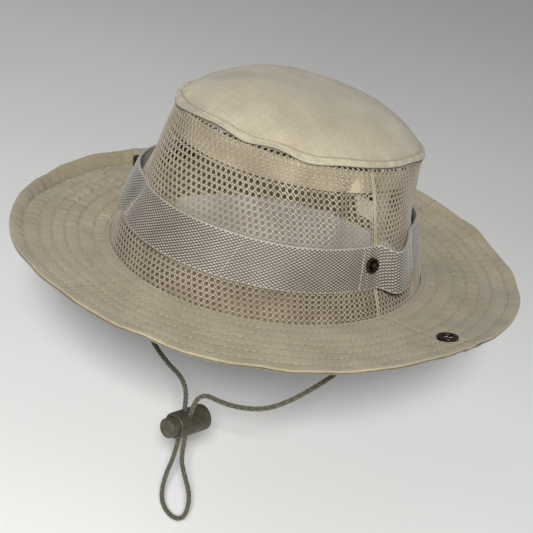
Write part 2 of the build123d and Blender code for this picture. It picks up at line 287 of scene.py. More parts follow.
def plain_tape(name, light, dark, pitch=0.0009):
    """Narrow woven tape or twill, ribbed along one direction."""
    look = Look(name, roughness=0.8, sheen=0.15, specular=0.2)
    ribs = look.math("ADD", look.threads(pitch, "DIAGONAL", 1.0), look.noise(900.0, 2.0))
    uneven = look.math("ADD", look.noise(50.0, 4.0), look.math("MULTIPLY", ribs, 0.12))
    colour = look.ramp(uneven, [(0.42, dark), (0.82, light)])
    # Painted shade: the groove attribute darkens the hem lines towards the dark colour.
    shaded = look.mix(look.attribute("groove"), colour, dark)
    return look.finish(shaded, ribs, depth=0.0002)


def thread_look(name, light, dark):
    """Twisted sewing thread or cord yarn."""
    look = Look(name, roughness=0.6, sheen=0.2, specular=0.3)
    colour = look.ramp(look.noise(1200.0, 2.0), [(0.35, dark), (0.7, light)])
    # Painted shade: the groove attribute darkens the cord's yarns where they dip under the others, and its
    # core.
    shaded = look.mix(look.attribute("groove"), colour, tuple(0.45 * c for c in dark[:3]) + (1.0,))
    return look.finish(shaded, look.noise(3000.0, 1.0), depth=0.0001)


def antique_metal():
    """Dark antique brass, rubbed bright in patches and on its edges."""
    look = Look("antique_metal", roughness=0.42, metallic=0.9, specular=0.5)
    edges = look.node("ShaderNodeNewGeometry").outputs["Pointiness"]
    patches = look.math("MULTIPLY", look.noise(500.0, 5.0), 0.5)
    rubbed = look.math("ADD", patches, look.math("MULTIPLY", edges, 0.5))
    colour = look.ramp(rubbed, [(0.46, srgb(30, 27, 24)), (0.66, srgb(112, 92, 70))])
    rough = look.ramp(look.noise(900.0, 4.0), [(0.3, (0.3, 0.3, 0.3, 1)), (0.7, (0.55, 0.55, 0.55, 1))])
    return look.finish(colour, look.noise(1400.0, 3.0), depth=0.00008, roughness=rough)


def moulded_plastic(name, light, dark):
    """Moulded nylon with a fine spark-eroded grain."""
    look = Look(name, roughness=0.5, specular=0.4)
    colour = look.ramp(look.noise(240.0, 4.0), [(0.35, dark), (0.7, light)])
    rough = look.ramp(look.noise(1600.0, 2.0), [(0.3, (0.42, 0.42, 0.42, 1)), (0.7, (0.62, 0.62, 0.62, 1))])
    return look.finish(colour, look.noise(3200.0, 1.0), depth=0.00006, roughness=rough)


def spring_steel():
    """Drawn wire with faint lines along it."""
    look = Look("spring_steel", roughness=0.3, metallic=1.0, specular=0.5)
    colour = look.ramp(look.noise(800.0, 3.0), [(0.3, srgb(150, 150, 152)), (0.7, srgb(196, 196, 198))])
    return look.finish(colour, look.noise(2500.0, 1.0), depth=0.00003)


# Colour of the painted shade in the cloth's grooves
GROOVE_SHADE = srgb(96, 88, 70)
brim_cloth = woven_cloth("brim_cloth", srgb(158, 147, 124), srgb(136, 126, 103), GROOVE_SHADE)
tip_cloth = woven_cloth("tip_cloth", srgb(170, 161, 141), srgb(150, 141, 120), GROOVE_SHADE)
# The under cloth is the same ripstop as the upper one, painted darker as the shade under the brim; its groove
# colour is painted shade too.
under_cloth = woven_cloth("under_cloth", srgb(120, 113, 92), srgb(100, 92, 73), srgb(66, 60, 46))
interlining = plain_tape("interlining", srgb(206, 200, 186), srgb(186, 180, 166))
binding_tape = plain_tape("binding_tape", srgb(164, 154, 128), srgb(132, 122, 97))
sweatband_cloth = plain_tape("sweatband_cloth", srgb(112, 98, 80), srgb(86, 74, 58), 0.0012)
label_tape = plain_tape("label_tape", srgb(228, 224, 212), srgb(206, 201, 188), 0.0006)
tab_cloth = plain_tape("tab_cloth", srgb(164, 154, 126), srgb(132, 122, 95))
net = net_yarn()
webbing = webbing_yarn()
khaki_thread = thread_look("khaki_thread", srgb(176, 164, 132), srgb(140, 128, 98))
grey_thread = thread_look("grey_thread", srgb(190, 184, 172), srgb(150, 144, 132))
cord_yarn = thread_look("cord_yarn", srgb(112, 108, 86), srgb(70, 67, 50))
metal = antique_metal()


# ---------------------------------------------------------------- mesh helpers
def mesh_piece(name, points, faces, material, body=None, groove=None, merge=0.0):
    """A smooth-shaded mesh object from points in millimetres, with its faces turned outwards."""
    mesh = bpy.data.meshes.new(name)
    mesh.from_pydata((np.asarray(points, float) * MM).tolist(), [], faces)
    if groove is not None:
        attribute = mesh.attributes.new("groove", "FLOAT", "POINT")
        attribute.data.foreach_set("value", np.clip(groove, 0, 1).astype(np.float32).ravel())
    shaped = bmesh.new()
    shaped.from_mesh(mesh)
    if merge:
        bmesh.ops.remove_doubles(shaped, verts=shaped.verts, dist=merge * MM)
        bmesh.ops.dissolve_degenerate(shaped, edges=shaped.edges, dist=merge * MM / 4)
    bmesh.ops.recalc_face_normals(shaped, faces=shaped.faces)
    shaped.to_mesh(mesh)
    shaped.free()
    mesh.polygons.foreach_set("use_smooth", [True] * len(mesh.polygons))
    mesh.materials.append(material)
    made = bpy.data.objects.new(name, mesh)
    bpy.context.collection.objects.link(made)
    if body:
        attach(made, body)
    return made


def assign(piece, slot, *nodes):
    """Hides the CAD nodes that a piece stands in for; the piece and its slot are not used."""
    if nodes:
        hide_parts(*nodes)


def grid_faces(rows, columns, wrap, first=0):
    """Quads between neighbouring points of a grid numbered row by row from first."""
    down = np.arange(rows - 1)[:, None] * columns
    along = np.arange(columns if wrap else columns - 1)[None, :]
    after = (along + 1) % columns
    corners = [down + along, down + after, down + columns + after, down + columns + along]
    return (np.stack(corners, -1).reshape(-1, 4) + first).tolist()


def normals_of(grid, wrap):
    """Unit normals of a grid of points, by differences along its rows and columns."""
    if wrap:
        along = np.roll(grid, -1, 1) - np.roll(grid, 1, 1)
    else:
        along = np.gradient(grid, axis=1)
    down = np.gradient(grid, axis=0)
    normal = np.cross(along, down)
    return normal / np.maximum(np.linalg.norm(normal, axis=2, keepdims=True), 1e-9)


def slab(front, back, wrap):
    """The points and faces of the closed solid between two grids of the same size."""
    rows, columns = front.shape[:2]
    count = rows * columns
    faces = grid_faces(rows, columns, wrap) + grid_faces(rows, columns, wrap, count)
    across = list(range(columns)) + ([0] if wrap else [])
    for row in (0, rows - 1):
        ring = [row * columns + k for k in across]
        faces += [(a, b, b + count, a + count) for a, b in zip(ring, ring[1:])]
    if not wrap:
        for column in (0, columns - 1):
            line = [k * columns + column for k in range(rows)]
            faces += [(a, b, b + count, a + count) for a, b in zip(line, line[1:])]
    return np.concatenate([front.reshape(-1, 3), back.reshape(-1, 3)]), faces


def one_sided(groove):
    """Groove values for a slab that has its grooves on its front only."""
    return np.concatenate([groove.ravel(), np.zeros(groove.size)])


def closed_ring(points):
    """Points round a ring, with the first one repeated at the end."""
    return np.concatenate([points, points[:1]])


def ripples(x, y, size, seed, count=7):
    """Smooth unevenness made of a few seeded waves of about one size, mostly from -1 to 1."""
    source = np.random.default_rng(seed)
    total = np.zeros(np.broadcast(x, y).shape)
    for _ in range(count):
        turn, phase = source.uniform(0, 2 * np.pi, 2)
        length = size * source.uniform(0.7, 1.5)
        total += np.sin(2 * np.pi * (x * np.cos(turn) + y * np.sin(turn)) / length + phase)
    return total / count**0.5 / 1.2


def step(value, start, end):
    """0 before start, 1 after end, and smooth between."""
    share = np.clip((value - start) / (end - start), 0, 1)
    return share * share * (3 - 2 * share)


def bump(value, centre, width):
    return np.exp(-(((value - centre) / width) ** 2))


def smooth_line(marks, at):
    """Values at some places of a smooth line through (place, value) marks in rising order of place."""
    places = np.array([m[0] for m in marks], float)
    values = np.array([m[1] for m in marks], float)
    slopes = np.gradient(values, places)
    i = np.clip(np.searchsorted(places, at) - 1, 0, len(places) - 2)
    run = places[i + 1] - places[i]
    t = np.clip((at - places[i]) / run, 0, 1)
    begin = values[i] * (1 + 2 * t) * (1 - t) ** 2 + slopes[i] * run * t * (1 - t) ** 2
    end = values[i + 1] * t * t * (3 - 2 * t) + slopes[i + 1] * run * t * t * (t - 1)
    return begin + end


def tubes(name, lines, outward, radii, material, body=None, sides=4, flat=1.0, shade=None):
    """Closed round bars along lines of points, all of one count; outward sets which way each one's top is."""
    lines, outward = np.asarray(lines, float), np.asarray(outward, float)
    along = np.gradient(lines, axis=1)
    along /= np.maximum(np.linalg.norm(along, axis=2, keepdims=True), 1e-9)
    aside = np.cross(along, outward)
    aside /= np.maximum(np.linalg.norm(aside, axis=2, keepdims=True), 1e-9)
    top = np.cross(aside, along) * flat
    angles = np.arange(sides) * 2 * np.pi / sides + np.pi / sides
    radii = np.asarray(radii, float)[None, :, None, None]
    ring = aside[:, :, None] * np.cos(angles)[:, None] + top[:, :, None] * np.sin(angles)[:, None]
    points = lines[:, :, None] + ring * radii
    count, stations = lines.shape[:2]
    faces = []
    for k in range(count):
        first = k * stations * sides
        faces += grid_faces(stations, sides, True, first)
        faces.append(tuple(range(first, first + sides)))
        faces.append(tuple(range(first + (stations - 1) * sides, first + stations * sides)))
    groove = None if shade is None else np.repeat(np.asarray(shade).ravel(), sides)
    return mesh_piece(name, points.reshape(-1, 3), faces, material, body, groove)


def stitch_lines(line, outward, length=2.6, gap=1.1, sink=0.25):
    """Short arched lines for the stitches along a seam, with their outward directions."""
    steps = np.linalg.norm(np.diff(line, axis=0), axis=1)
    run = np.concatenate([[0], np.cumsum(steps)])
    starts = np.arange(0, run[-1] - length, length + gap)
    shares = np.array([0.0, 0.18, 0.5, 0.82, 1.0])
    at = starts[:, None] + shares * length
    place = np.stack([np.interp(at, run, line[:, k]) for k in range(3)], -1)
    up = np.stack([np.interp(at, run, outward[:, k]) for k in range(3)], -1)
    lift = np.array([-sink, 0.12, 0.2, 0.12, -sink])[None, :, None]
    return place + up * lift, up


def sew(name, seams, material, body=None, radius=0.27, length=2.6, gap=1.1):
    """One piece with all the stitches of some seams, each a (line, outward) pair."""
    pairs = [stitch_lines(line, outward, length, gap) for line, outward in seams]
    lines = np.concatenate([p[0] for p in pairs])
    outward = np.concatenate([p[1] for p in pairs])
    return tubes(name, lines, outward, np.array([0.6, 1, 1, 1, 0.6]) * radius, material, body)


# ---------------------------------------------------------------- crown surface
def wall(turn, share):
    """Points of the crown wall's outside, at shares from its bottom (0) to its top seam (1)."""
    weights = []
    for k, own in enumerate(SHARES):
        others = [s for j, s in enumerate(SHARES) if j != k]
        weights.append(np.prod([(share - s) / (own - s) for s in others], axis=0))
    half_x, half_y, centre_x, centre_y, height, drop = [
        sum(w * SECTIONS[k, column] for k, w in enumerate(weights)) for column in range(6)
    ]
    x = centre_x + half_x * np.cos(turn)
    y = centre_y + half_y * np.sin(turn)
    return np.stack([x, y, height - drop * np.sin(turn)], -1)


def dome(turn, share):
    """Points of the crown's cloth top, at shares from its middle (0) to its seam (1)."""
    across = TOP_X * share * np.cos(turn)
    along = TOP_Y / np.cos(TILT) * share * np.sin(turn)
    rise = DOME_RISE * (1 - share**DOME_POWER)
    x = TOP_CENTRE_X + across
    y = TOP_CENTRE_Y + along * np.cos(TILT) + rise * np.sin(TILT)
    z = TOP_LEVEL - along * np.sin(TILT) + rise * np.cos(TILT)
    return np.stack([x, y, z], -1)


def crown(turn, rise):
    """Points of the crown's outside at a rise above the top seam, and down the wall where it is negative."""
    turn, rise = np.broadcast_arrays(turn, rise)
    below = wall(turn, 1 + np.minimum(rise, 0) / WALL_RUN)
    above = dome(turn, 1 - np.maximum(rise, 0) / DOME_RUN)
    return np.where((rise > 0)[..., None], above, below)


def crown_out(turn, rise, out):
    """Points of the crown, moved outwards from its surface by out."""
    turn, rise, out = np.broadcast_arrays(turn, rise, out)
    small = 0.01
    across = crown(turn + small, rise) - crown(turn - small, rise)
    upwards = crown(turn, rise + 1) - crown(turn, rise - 1)
    normal = np.cross(across, upwards)
    normal /= np.linalg.norm(normal, axis=-1, keepdims=True)
    return crown(turn, rise) + normal * out[..., None]


def slack(turn, rise):
    """How far the netting stands out from the even wall: folds beside the seams, and a loose front.
    Behind the webbing's loop on the wearer's left it is pulled in."""
    degrees = np.degrees(turn)
    high = step(rise, -62, -30) * step(-rise, 0, 9)
    low = step(-rise, 62, 72) * step(rise, -90, -82)
    folds = 2.2 * bump(degrees, -24, 3.2) - 1.3 * bump(degrees, -17.5, 3.0) + 1.2 * bump(degrees, -8, 2.6)
    folds += 1.4 * bump(degrees, 173, 4) - 1.0 * bump(degrees, 166, 4)
    loose = ripples(degrees * 1.4, rise, 55, 3) * 1.1 + 1.6 * bump(degrees, -128, 16)
    loose = loose * step(-rise, 2, 22) * step(rise, -WALL_RUN, -70)
    pulled_in = -1.6 * bump(degrees, 40, 20) * bump(rise, -50, 16)
    near_brim = 1.2 * low * ripples(degrees, rise, 30, 5)
    return folds * high + pulled_in + loose + near_brim


def seam_wave(turn):
    """How far the top seam wanders up and down."""
    degrees = (np.degrees(turn) + 180) % 360 - 180
    near = smooth_line(SEAM_MARKS, degrees)
    far = 1.2 * np.sin(9 * turn + 0.6) + 0.8 * np.sin(5 * turn + 2.1)
    return near + far * step(abs(degrees + 55), 95, 125)


def seam_turn(rise):
    """How far each side seam leans to the front at a rise."""
    share = np.clip(1 + rise / WALL_RUN, 0, 1)
    return SEAM_LEAN * share**2.2


# ---------------------------------------------------------------- crown pieces
NET_PITCH = 3.55
NET_DEPTH = 0.45
HOLE_RADIUS = 1.08
YARN_TOP, YARN_SIDE = 0.42, 0.16
NICK = 0.56
CORNERS = 12
# How much painted shade each layer of a cell gets, from its hole over the front to the back: the hole edges
# and the back faces are painted dark.
NET_SHADE = (0.75, 0.0, 0.35, 0.9, 1.0)


def arc_table(half_x, half_y, start, end, count=400):
    """Turns from start to end, and the share of the arc's length up to each."""
    turns = np.linspace(start, end, count)
    line = np.stack([half_x * np.cos(turns), half_y * np.sin(turns)], 1)
    run = np.concatenate([[0], np.cumsum(np.linalg.norm(np.diff(line, axis=0), axis=1))])
    return turns, run / run[-1], run[-1]


def net_cell():
    """Points of one cell of the netting, layer by layer, and which sides of its rim are short."""
    corner = NET_PITCH / np.sqrt(3)
    edges = []
    for k in range(6):
        a, b = (np.pi / 6 + (k + s) * np.pi / 3 for s in (-1, 0))
        start = corner * np.array([np.cos(a), np.sin(a)])
        end = corner * np.array([np.cos(b), np.sin(b)])
        unit = (end - start) / np.linalg.norm(end - start)
        edges += [start + unit * NICK, end - unit * NICK]
    rim = np.array(edges)
    rim = rim[np.argsort(np.arctan2(rim[:, 1], rim[:, 0]) % (2 * np.pi))]
    angles = np.arctan2(rim[:, 1], rim[:, 0])
    hole = HOLE_RADIUS * np.stack([np.cos(angles), np.sin(angles)], 1)
    ridge = 0.42 * hole + 0.58 * rim
    layers = ((hole, 0.0), (ridge, YARN_TOP), (rim, YARN_SIDE), (rim, -YARN_SIDE), (ridge, -YARN_TOP))
    cell = np.concatenate([np.column_stack([ring, np.full(CORNERS, height)]) for ring, height in layers])
    gaps = np.linalg.norm(np.roll(rim, -1, 0) - rim, axis=1)
    return cell, gaps < gaps.mean()


def netting(name, front):
    """Half of the crown's knitted netting: round holes in staggered rows, with small ones between them."""
    middle = -QUARTER if front else QUARTER
    side = -1 if front else 1
    turns, shares, waist_run = arc_table(WAIST_X, WAIST_Y, middle - QUARTER, middle + QUARTER)
    row_gap = NET_PITCH * np.sqrt(3) / 2
    cells = []
    for j in range(int((WALL_RUN + 4.5) / row_gap) + 1):
        rise = -WALL_RUN - 0.6 + j * row_gap
        ends = wall(np.array([0, np.pi, QUARTER, -QUARTER]), 1 + min(rise, 0) / WALL_RUN)
        growth = np.ptp(ends, axis=0)[:2].sum() / 2 / (WAIST_X + WAIST_Y)
        run = waist_run * growth * (1 + 2 * side * seam_turn(rise) / np.pi)
        reach = int(run / 2 / NET_PITCH) + 1
        for i in range(-reach, reach + 1):
            along = (i + 0.5 * (j % 2)) * NET_PITCH
            if abs(along) < run / 2 + NET_PITCH * 0.3:
                cells.append((along, rise, run))
    cells = np.array(cells)
    cell, short = net_cell()
    # Painted shade for every point of every cell
    groove = np.tile(np.repeat(NET_SHADE, CORNERS), len(cells))
    flat = cell[None, :, :] + np.column_stack([cells[:, 0], cells[:, 1], np.zeros(len(cells))])[:, None, :]
    half = cells[:, 2][:, None] / 2
    share = 0.5 + np.clip(flat[..., 0], -half, half) / (2 * half)
    lean = side * seam_turn(flat[..., 1])
    turn = middle + (np.interp(share, shares, turns) - middle) * (1 + 2 * lean / np.pi)
    rise = np.clip(flat[..., 1], -WALL_RUN - 1, seam_wave(turn) + 1.2)
    tuck = -0.9 * step(rise - seam_wave(turn), -1.5, 0.8)
    place = crown_out(turn, rise, flat[..., 2] + slack(turn, rise) - NET_DEPTH + tuck)
    ring = np.arange(CORNERS)
    after = (ring + 1) % CORNERS
    quads = []
    for a, b in ((0, 1), (1, 2), (3, 4), (4, 0)):
        a, b = a * CORNERS, b * CORNERS
        quads.append(np.stack([a + ring, a + after, b + after, b + ring], 1))
    front_rim, back_rim = 2 * CORNERS, 3 * CORNERS
    closing = [front_rim + ring, front_rim + after, back_rim + after, back_rim + ring]
    quads = np.concatenate([*quads, np.stack(closing, 1)[short]])
    faces = (quads[None] + (np.arange(len(cells)) * len(cell))[:, None, None]).reshape(-1, 4).tolist()
    piece = mesh_piece(name, place.reshape(-1, 3), faces, net, "root", groove, merge=0.06)
    assign(piece, "netting", "crown_mesh_front" if front else "crown_mesh_back")


def tip_panel():
    """The crown's cloth top, with its turned edge, topstitching and puckers."""
    turn = np.linspace(0, 2 * np.pi, 560, endpoint=False)[None, :]
    above = np.concatenate([np.arange(0, 12, 0.5), np.arange(12, 30, 1.5), np.linspace(30, DOME_RUN, 34)])
    away = above[:, None]
    rise = away + seam_wave(turn) * (1 - away / DOME_RUN) ** 6
    rise = np.minimum(rise, DOME_RUN)
    turned_edge = 0.9 * step(away, -0.5, 0.8) * step(-away, -5.2, -4.2)
    stitch_dip = -0.55 * bump(away, TOPSTITCH, 0.5)
    left_front = 0.45 + 0.9 * bump(np.degrees(turn), 235, 28) + 0.4 * bump(np.degrees(turn), 300, 35)
    around = turn * TIP_RADIUS
    pucker = ripples(around, away * 0.5, 7.5, 11) * np.exp(-((away / 7.5) ** 2)) * 0.75 * left_front
    fold = ripples(around, away * 0.6, 26, 12) * np.exp(-(((away - 6) / 15) ** 2)) * 1.3 * left_front
    flat = dome(turn, np.clip(1 - rise / DOME_RUN, 0, 1))
    drape = ripples(flat[..., 0], flat[..., 1], 60, 13) * 0.9 * step(away, 8, 40)
    lift = TIP_STANDOFF + turned_edge + stitch_dip + (pucker + fold) * step(away, 0, 3) + drape
    grid = crown_out(turn, np.minimum(rise, DOME_RUN - 1.5), lift)
    grid[-1] = dome(turn, np.zeros_like(turn)) + np.array([0, 0, TIP_STANDOFF])
    grid[-1] += (grid[-2] - grid[-1]) * 0.02
    # Painted shade along the topstitching and the seam edge
    groove = 0.75 * bump(away, TOPSTITCH, 0.45) + 0.6 * bump(away, 0.0, 0.5) + 0 * turn
    normal = normals_of(grid, True)
    points, faces = slab(grid, grid - normal * TIP_THICK, True)
    piece = mesh_piece("tip_panel", points, faces, tip_cloth, "root", one_sided(groove))
    assign(piece, "tip_cloth", "crown_tip")
    row = int(np.argmin(abs(above - TOPSTITCH)))
    line, outward = closed_ring(grid[row]), closed_ring(normal[row])
    assign(sew("tip_topstitch", [(line + 0.1 * outward, outward)], khaki_thread, "root"), "tip_cloth")


def crown_seams():
    """The closed edge of the netting down each side seam."""
    count = 150
    for name, middle, side in (("side_seam_left", 0.0, -1), ("side_seam_right", np.pi, 1)):
        rise = np.linspace(-WALL_RUN, -0.5, count)
        turn = middle + side * seam_turn(rise)
        lines = []
        for aside in (-0.55, 0.55):
            wobble = 0.075 * np.sin(rise * 1.7 + aside)
            lines.append(crown_out(turn + aside / 78, rise, slack(turn, rise) + 0.15 + wobble))
        out = crown_out(turn, rise, 1.0) - crown_out(turn, rise, 0.0)
        assign(tubes(name, lines, [out, out], np.full(count, 0.42), net, "root", 6, 0.7), "netting")


# ---------------------------------------------------------------- webbing
def web_strip(name, start, end, marks, node, sag=0.0):
    """A strip of webbing round the crown; marks give how far it stands out at some turns, in degrees.
    It hangs lower by sag where it stands out."""
    turns, shares, run = arc_table(81.0, 90.0, np.radians(start), np.radians(end))
    along = np.arange(0, run, 0.6)
    turn = np.interp(along / run, shares, turns)[None, :]
    across = np.concatenate([[-0.25], np.arange(0, WEB_WIDTH, 0.41), [WEB_WIDTH + 0.25]])[:, None]
    share = WEB_LOW + (WEB_HIGH - WEB_LOW) * across / WEB_WIDTH
    edge = np.minimum(across, WEB_WIDTH - across)
    one_way, other_way = (np.cos(np.pi * (along / 2.9 + way * across / 1.75)) for way in (1, -1))
    twist = 0.62 + 0.38 * np.cos(2 * np.pi * (along / 1.5 + across / 3.0))
    knuckle = abs(one_way * other_way) * step(edge, 0.3, 0.9) + twist * step(-edge, -0.9, -0.3)
    stand = smooth_line(marks, np.degrees(turn)) + 0 * across
    lean = 0.6 * ripples(along / 1.3, across * 0.7, 34, 21) * step(stand, 0.3, 2.0)
    round_edge = -0.35 * step(-edge, -0.8, 0.3)
    out = WEB_GAP + WEB_THICK + stand + lean + round_edge
    rise = (share - 1) * WALL_RUN - sag * step(stand, 0.5, 8.0)
    face = crown_out(turn, rise, out + 0.42 * (knuckle - 0.5))
    back = crown_out(turn, rise, out - WEB_THICK - 0.3 * (knuckle - 0.5))
    points, faces = slab(face, back, False)
    # Painted shade in the gaps between the knuckles, on both faces of the strip
    dark = np.tile(1 - knuckle.ravel(), 2)
    assign(mesh_piece(name, points, faces, webbing, "root", dark), "webbing", node)


def tack_seam(turn_low, turn_high):
    """The line of a row of stitches across the webbing, from its lower edge to its upper."""
    count = 40
    inset = 0.012
    share = np.linspace(WEB_LOW + inset, WEB_HIGH - inset, count)
    turn = np.radians(np.linspace(turn_low, turn_high, count))
    rise = (share - 1) * WALL_RUN
    out = WEB_GAP + WEB_THICK + 0.2
    line = crown_out(turn, rise, out)
    return line, crown_out(turn, rise, out + 1) - line


def hatband():
    """The webbing: a strip across the front that lies close, and one behind that is sewn down in loops."""
    front = [(-172.6, 0.6), (-168, 0.0), (-160, 2.0), (-142, 3.4), (-124, 1.6), (-117, 0.0)]
    front += [(-110, 1.0), (-92, 1.8), (-72, 1.2), (-62, 0.0), (-54, 1.0), (-36, 1.5), (-16, 0.8)]
    front += [(-9.5, 0.0), (-7.4, 0.5)]
    web_strip("webbing_front", -172.6, -7.4, front, "hatband_front")
    left = [(-6.6, 0.1), (-2.0, 0.6), (1.2, 4.2), (4.0, 7.6), (5.6, 8.6), (7.4, 8.0), (13, 5.4), (18, 2.6)]
    left += [(24, 0.2), (30, 0.0), (37, 0.4), (43, 0.8), (49, 0.2), (52, 0.0), (60, 2.2), (69, 4.4)]
    left += [(80, 2.2)]
    right = [(180 - place, value) for place, value in reversed(left)]
    web_strip("webbing_back", -6.6, 186.6, left + [(90, 0.0)] + right, "hatband_back", 4.0)
    slanted = ((-62.5, -57.5), (-117.5, -112), (-10.2, -8.8), (-169.8, -171.2))
    upright = ((turn, turn) for turn in (24, 52, 90, 128, 156))
    seams = [tack_seam(*ends) for ends in (*slanted, *upright)]
    assign(sew("webbing_tacks", seams, grey_thread, "root", 0.24, 1.9, 0.4), "webbing")


# ---------------------------------------------------------------- brim
def brim_height(x, y):
    """Height of the brim's top face, which rises outwards, more so on the wearer's left and behind."""
    outwards = (x / BASE_X) ** 2 + (y / BASE_Y) ** 2 - 1
    return outwards * (FRONT_RISE + LEFT_RISE * (x / BRIM_OUT[0]) ** 3 + BACK_RISE * y / BRIM_OUT[1])


def brim_place(turn, share):
    """x and y of the brim at shares from the crown seam (0) to its edge (1)."""
    x = (BRIM_IN[0] + (BRIM_OUT[0] - BRIM_IN[0]) * share) * np.cos(turn)
    y = (BRIM_IN[1] + (BRIM_OUT[1] - BRIM_IN[1]) * share) * np.sin(turn) + BRIM_SHIFT * share
    return x, y


def brim_relief(turn, share):
    """How the worn brim departs from its even shape: dips at the front corners, and a hem curled up."""
    degrees = np.degrees(turn) % 360
    corners = 2.6 * np.cos(4 * turn) * abs(np.sin(turn)) * share**2
    right_dip = bump(degrees, 188, 38)
    dip = -4.6 * right_dip * step(share, 0.25, 0.86)
    curl = 6.5 * right_dip * step(share, 0.85, 0.97) - 1.2 * right_dip * bump(share, 0.865, 0.03)
    edge = 0.8 * ripples(degrees * 2.2, 0 * degrees, 34, 31) * step(share, 0.6, 1.0)
    sway = 0.9 * ripples(degrees * 1.6, share * 30, 60, 32) * step(share, 0.05, 0.5)
    return corners + dip + curl + edge + sway


def quilting(turn, share, seed):
    """The cloth's swell between rows of stitches, its puckers, and how deep in a row a place is."""
    degrees = np.degrees(turn) % 360
    width = BRIM_OUT[0] - BRIM_IN[0]
    rows = np.array(STITCH_ROWS)
    nearest = np.min(abs(share[..., None] - rows), axis=-1) * width
    row_dip = bump(nearest, 0, 0.6)
    swell = 0.45 * (1 - np.exp(-nearest / 2.2))
    number = np.searchsorted(rows, share)
    gathered = 0.4 + 1.0 * bump(degrees, 195, 40) + 0.2 * bump(degrees, 300, 40) + 0.3 * bump(degrees, 60, 50)
    crease = 0
    for k in range(len(rows) + 1):
        own = ripples(turn * BRIM_RADIUS, share * 14, 6.2, seed + k)
        crease = crease + np.where(number == k, own, 0)
    pucker = crease * gathered * 0.62 * np.exp(-nearest / 5.5) * step(nearest, -0.4, 0.9)
    return swell - 0.35 * row_dip + pucker, row_dip


def side_seam(x, y):
    """Relief of the brim's side seams: a wavy step along each, from the crown out to the edge."""
    along = abs(x) - BRIM_IN[0]
    wander = 0.9 * np.sin(along / 6.0) + 0.5 * np.sin(along / 2.7 + 1)
    away = (y - along * np.tan(SIDE_TURN)) * np.cos(SIDE_TURN) - wander
    ridge = 0.55 * step(away, -0.3, 0.5) * step(-away, -6.5, -5.2) * (along > 0)
    line = bump(away, -0.3, 0.5) * (along > 0)
    return ridge - 0.4 * line, line


def brim_skin(turn, share, depth, seed, side):
    """A face of the brim at a depth below its top; side is 1 for the upper cloth and -1 for the under one."""
    x, y = brim_place(turn, share)
    swell, row = quilting(turn, share, seed)
    seam, line = side_seam(x, y)
    height = brim_height(x, y) + brim_relief(turn, share) - depth
    height = height + side * (swell + seam - 0.25)
    # The second value is painted shade along the stitch rows and the side seams
    return np.stack([x, y, height], -1), np.maximum(0.6 * row, 0.6 * line)


def half_turns(left, count):
    middle = 0.0 if left else np.pi
    return np.linspace(middle - QUARTER, middle + QUARTER, count)[None, :]


def bend_with_brim(piece):
    """Bakes the piece's transform into its mesh."""
    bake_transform(piece)


def brim_shares():
    """Shares across the brim, closest together at the rows of stitches and at the edge."""
    places = [np.linspace(0, 0.985, 44), np.array([0.992, 0.997, 1.0])]
    for row in STITCH_ROWS:
        places.append(row + np.array([-0.022, -0.011, 0, 0.011, 0.022]))
    return np.unique(np.round(np.concatenate(places), 3))


def brim_half(left):
    """One half of the brim's layers: upper cloth, interlining, under cloth and their stitches."""
    name = "left" if left else "right"
    middle = "front" if left else "back"
    turn = half_turns(left, 470)
    shares = brim_shares()
    share = shares[:, None] + 0 * turn
    full_turn = turn + 0 * share
    past = np.clip((shares - 0.982) / 0.018, 0, 1)
    rounding = BRIM_THICK / 2 * (1 - np.sqrt(1 - past**2))[:, None]
    stitch_sets = {}
    for kind, depth, seed, side, cloth, cloth_slot in (
        ("upper", 0.0, 40, 1, brim_cloth, "brim_cloth"),
        ("under", BRIM_THICK, 60, -1, under_cloth, "under_cloth"),
    ):
        face, groove = brim_skin(full_turn, share, depth, seed, side)
        face[..., 2] -= side * rounding
        back = face.copy()
        back[..., 2] -= side * np.minimum(CLOTH_THICK, BRIM_THICK / 2 - rounding)
        points, faces = slab(face, back, False)
        piece = mesh_piece(f"brim_{kind}_{name}", points, faces, cloth, None, one_sided(groove))
        bend_with_brim(piece)
        nodes = [f"brim_{kind}_{place}" for place in (middle, f"{name}_front", f"{name}_back")]
        assign(piece, cloth_slot, *nodes)
        normal = normals_of(face, False)
        normal *= side * np.sign(normal[..., 2:3])
        rows = [int(np.argmin(abs(shares - row))) for row in STITCH_ROWS]
        stitch_sets[kind] = [(face[k] + 0.12 * normal[k], normal[k]) for k in rows]
    for kind, seams in stitch_sets.items():
        piece = sew(f"brim_{kind}_stitches_{name}", seams, khaki_thread)
        bend_with_brim(piece)
        assign(piece, "brim_cloth")
    core_shares = np.linspace(0.01, 1 - CORE_INSET / 60, 30)[:, None]
    core_turn = half_turns(left, 160)
    x, y = brim_place(core_turn, core_shares)
    height = brim_height(x, y) + brim_relief(core_turn + 0 * core_shares, core_shares + 0 * core_turn)
    top = np.stack([x, y, height - CLOTH_THICK - CORE_GAP], -1)
    bottom = np.stack([x, y, height - BRIM_THICK + CLOTH_THICK + CORE_GAP], -1)
    points, faces = slab(top, bottom, False)
    piece = mesh_piece(f"brim_core_{name}", points, faces, interlining)
    bend_with_brim(piece)
    assign(piece, "interlining", "brim_stiffener", f"brim_stiffener_{name}")


